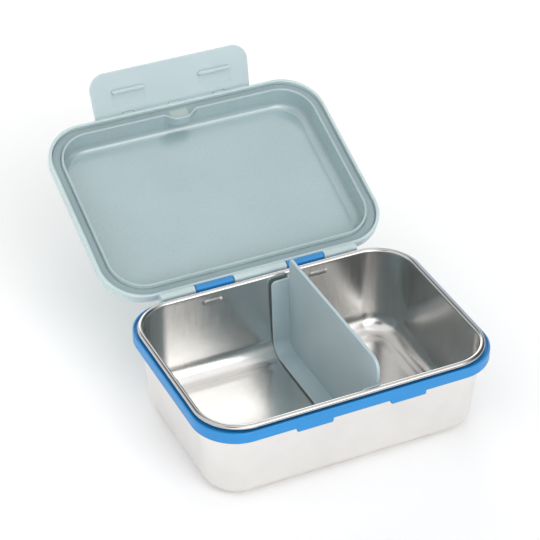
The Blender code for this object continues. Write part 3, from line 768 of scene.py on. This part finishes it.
def flap_outline():
    """The flap's plate seen from the front: wide rounded corners below, small ones above."""
    tip = LATCH.z - FLAP_LENGTH
    left = (-FLAP_HALF_X + FLAP_CORNER, tip + FLAP_CORNER)
    right = (FLAP_HALF_X - FLAP_CORNER, tip + FLAP_CORNER)
    base = FLAP_HALF_X - FLAP_TAPER
    root = (base - FLAP_ROOT_CORNER, LATCH.z - BARREL_RADIUS + FLAP_ROOT_CORNER)
    return [
        *arc((-root[0], root[1]), FLAP_ROOT_CORNER, 90, 180, 6),
        *arc(left, FLAP_CORNER, 180, 270, 20),
        *arc(right, FLAP_CORNER, 270, 360, 20),
        *arc(root, FLAP_ROOT_CORNER, 0, 90, 6),
    ]


def pill_outline(x_range, z_range):
    """A bar with round ends."""
    radius = (z_range[1] - z_range[0]) / 2
    middle = (z_range[0] + z_range[1]) / 2
    left = arc((x_range[0] + radius, middle), radius, 90, 270, 12)
    return left + arc((x_range[1] - radius, middle), radius, -90, 90, 12)


def corners_of(x_range, z_range):
    """A rectangle's four corners."""
    (left, right), (low, high) = x_range, z_range
    return [(left, low), (right, low), (right, high), (left, high)]


def make_flap():
    plastic = [flap_plastic]
    flap = prism("flap", flap_outline(), "Y", *FLAP_Y, plastic, edge=0.5 * MM)
    base = FLAP_HALF_X - FLAP_TAPER - FLAP_ROOT_CORNER
    barrel = rod("barrel", BARREL_RADIUS, (-base, base), LATCH.y, LATCH.z, plastic)
    tools = [("UNION", barrel)]
    for sign in (-1, 1):
        ends = sorted((sign * RIB_X[0], sign * RIB_X[1]))
        corners = [(x, z, 1.6 * MM) for x, z in corners_of(ends, RIB_POCKET_Z)]
        depth = (FLAP_Y[1] - RIB_POCKET_SINK, FLAP_Y[1] + MM)
        pocket = prism("pocket", rounded(corners, closed=True), "Y", *depth, plastic, 0.25 * MM)
        tools.append(("DIFFERENCE", pocket))
        height = (FLAP_Y[1] - 0.6 * MM, RIB_TIP_Y)
        rib = prism("rib", pill_outline(ends, RIB_Z), "Y", *height, plastic, 0.6 * MM)
        tools.append(("UNION", rib))
    half = LUG_WIDTH / 2 + LUG_GAP
    for x in LUG_XS:
        low = (x - half, LATCH.y - NOTCH_REACH, LATCH.z - NOTCH_REACH)
        high = (x + half, LATCH.y + NOTCH_REACH, LATCH.z + NOTCH_REACH)
        tools.append(("DIFFERENCE", block("notch", low, high, plastic)))
    ends = (-LATCH_BORE_END, LATCH_BORE_END)
    bore = rod("bore", LATCH_BORE, ends, LATCH.y, LATCH.z, plastic)
    tools.append(("DIFFERENCE", bore))
    combine(flap, tools)
    turn(flap, LATCH, "X", -LATCH_OPEN)
    return dress(swing_lid(flap), "latch", ["latch_flap"])


# ---------------------------------------------------------------- divider


def foot_arc(inset):
    """The divider's rounded foot corner, drawn in by inset."""
    radius = DIVIDER_FOOT_RADIUS - inset
    centre = (DIVIDER_FOOT_HALF_Y - DIVIDER_FOOT_RADIUS, DIVIDER_BOTTOM + DIVIDER_FOOT_RADIUS)
    return arc(centre, radius, -90, 0, 16)


def plate_outline():
    """The plate follows the flange up to its top, and steps in above it to clear the lid's lip."""
    front, rear = DIVIDER_FRONT_RADIUS, DIVIDER_REAR_RADIUS
    corner = (FLANGE_TOP_HALF_Y - STEP_RADIUS, FLANGE_TOP - STEP_RADIUS)
    step = arc(corner, STEP_RADIUS, 0, 90, 4)
    side = [*foot_arc(0.0), *step, (DIVIDER_TOP_HALF_Y, FLANGE_TOP)]
    return [
        *side,
        *arc((DIVIDER_TOP_HALF_Y - rear, DIVIDER_TOP - rear), rear, 0, 90, 8),
        *arc((-DIVIDER_TOP_HALF_Y + front, DIVIDER_TOP - front), front, 90, 180, 16),
        *[(-y, z) for y, z in side[::-1]],
    ]


def flange_outline():
    """The U that the flange makes along the foot and both ends."""
    outer = [*foot_arc(0.0), (FLANGE_TOP_HALF_Y, FLANGE_TOP)]
    inner = [*foot_arc(FLANGE_THICKNESS), (FLANGE_TOP_HALF_Y - FLANGE_THICKNESS, FLANGE_TOP)]
    return [*outer, *inner[::-1], *[(-y, z) for y, z in inner], *[(-y, z) for y, z in outer[::-1]]]


def make_divider():
    plastic = [divider_plastic]
    plate = prism("divider_plate", plate_outline(), "X", *DIVIDER_X, plastic, edge=0.6 * MM)
    ends = (FLANGE_EDGE_X, DIVIDER_X[0] + 0.9 * MM)
    flange = prism("flange", flange_outline(), "X", *ends, plastic, edge=0.4 * MM)
    corner = (FLANGE_EDGE_X + FLANGE_CORNER, FLANGE_TOP - FLANGE_CORNER)
    side = [
        (FLANGE_EDGE_X - MM, DIVIDER_BOTTOM - MM),
        (FLANGE_EDGE_X - MM, corner[1]),
        (FLANGE_EDGE_X, corner[1]),
        *arc(corner, FLANGE_CORNER, 180, 90, 10)[1:],
        (DIVIDER_X[1], FLANGE_TOP),
        (DIVIDER_X[1], DIVIDER_BOTTOM - MM),
    ]
    trim = prism("trim", side, "Y", -RIM_HALF_Y, RIM_HALF_Y, plastic, edge=0.0)
    combine(flange, [("INTERSECT", trim)])
    combine(plate, [("UNION", flange)])
    turn(plate, Vector((DIVIDER_X[0], 0.0, DIVIDER_BOTTOM)), "Y", -DIVIDER_LEAN)
    return dress(plate, "divider", ["divider"])


make_tub()
make_frame()
make_lid()
make_seal()
make_flap()
make_divider()
for name in ("hinge_pin_left", "hinge_pin_right", "latch_pin"):
    wire = frame["nodes"][name].data
    wire.materials.clear()
    wire.materials.append(wire_steel)


# ---------------------------------------------------------------- stage, light and camera

CAMERA_AZIMUTH = math.radians(26.154)
CAMERA_ELEVATION = math.radians(35.054)
CAMERA_ROLL = math.radians(0.797)
CAMERA_DISTANCE = 1134.463 * MM
CAMERA_TARGET = Vector((-25.759 * MM, 0.0, 103.837 * MM))
CAMERA_LENS = 140.657
SKY_STRENGTH = 1.1
# Soft round patches of sky that add or take light: azimuth from +Y towards +X and elevation of the
# middle, angle from it where the patch ends, angle up to which it is full, and strength.
SKY_PATCHES = (
    (166.0, 34.0, 32.0, 0.0, 2.8),
    (13.0, 23.0, 20.0, 9.0, 2.8),
    (100.0, 68.0, 26.0, 12.0, 0.4),
    (-165.0, 8.0, 45.0, 10.0, 0.8),
    (-140.0, 47.0, 16.0, 8.0, -0.95),
    (5.0, 47.0, 21.0, 14.0, -0.75),
    (-24.0, 40.0, 16.0, 8.0, -0.6),
    (154.0, 4.0, 22.0, 14.0, -0.9),
    (85.0, 26.0, 54.0, 22.0, -0.95),
)


def make_camera():
    data = bpy.data.cameras.new("camera")
    data.lens = CAMERA_LENS
    data.sensor_width = 36.0
    data.clip_start = 0.01
    data.clip_end = 20.0
    camera = bpy.data.objects.new("camera", data)
    bpy.context.scene.collection.objects.link(camera)
    facing = Euler((math.pi / 2 - CAMERA_ELEVATION, 0.0, -CAMERA_AZIMUTH)).to_matrix()
    roll = Matrix.Rotation(CAMERA_ROLL, 3, "Z")
    camera.matrix_world = (facing @ roll).to_4x4()
    camera.location = CAMERA_TARGET + facing @ Vector((0.0, 0.0, CAMERA_DISTANCE))
    bpy.context.scene.camera = camera


def make_floor():
    bm = bmesh.new()
    bmesh.ops.create_grid(bm, x_segments=1, y_segments=1, size=6.0)
    material, nodes, links, shader = new_material("pale_floor", 0.9)
    cloud = add_noise(nodes, links, EVEN, FLOOR_CLOUD_SCALE)
    drift = add_ramp(nodes, links, cloud, grey(0.95), grey(0.97))
    links.new(drift, shader.inputs["Base Color"])
    shader.inputs["Specular IOR Level"].default_value = 0.1
    new_object("floor", bm, [material])


def make_world():
    """A white studio whose sky is even apart from its soft patches."""
    world = bpy.data.worlds.new("studio")
    world.use_nodes = True
    nodes, links = world.node_tree.nodes, world.node_tree.links
    background = nodes["Background"]
    coordinates = nodes.new("ShaderNodeTexCoord")

    def patch(azimuth, elevation, edge, core, strength):
        turned, raised = math.radians(azimuth), math.radians(elevation)
        facing = nodes.new("ShaderNodeVectorMath")
        facing.operation = "DOT_PRODUCT"
        facing.inputs[1].default_value = (
            math.cos(raised) * math.sin(turned),
            math.cos(raised) * math.cos(turned),
            math.sin(raised),
        )
        links.new(coordinates.outputs["Generated"], facing.inputs[0])
        angle = nodes.new("ShaderNodeMath")
        angle.operation = "ARCCOSINE"
        links.new(facing.outputs["Value"], angle.inputs[0])
        fade = nodes.new("ShaderNodeMapRange")
        fade.interpolation_type = "SMOOTHSTEP"
        ends = (math.radians(core), math.radians(edge), strength, 0.0)
        for label, value in zip(("From Min", "From Max", "To Min", "To Max"), ends):
            fade.inputs[label].default_value = value
        links.new(angle.outputs["Value"], fade.inputs["Value"])
        return fade.outputs["Result"]

    total = None
    for figures in SKY_PATCHES:
        added = nodes.new("ShaderNodeMath")
        added.operation = "ADD"
        links.new(patch(*figures), added.inputs[0])
        if total:
            links.new(total, added.inputs[1])
        else:
            added.inputs[1].default_value = SKY_STRENGTH
        total = added.outputs["Value"]
    links.new(total, background.inputs["Strength"])
    background.inputs["Color"].default_value = (1.0, 1.0, 1.0, 1.0)
    bpy.context.scene.world = world


make_camera()
make_floor()
make_world()
bpy.context.scene.view_settings.view_transform = "Standard"
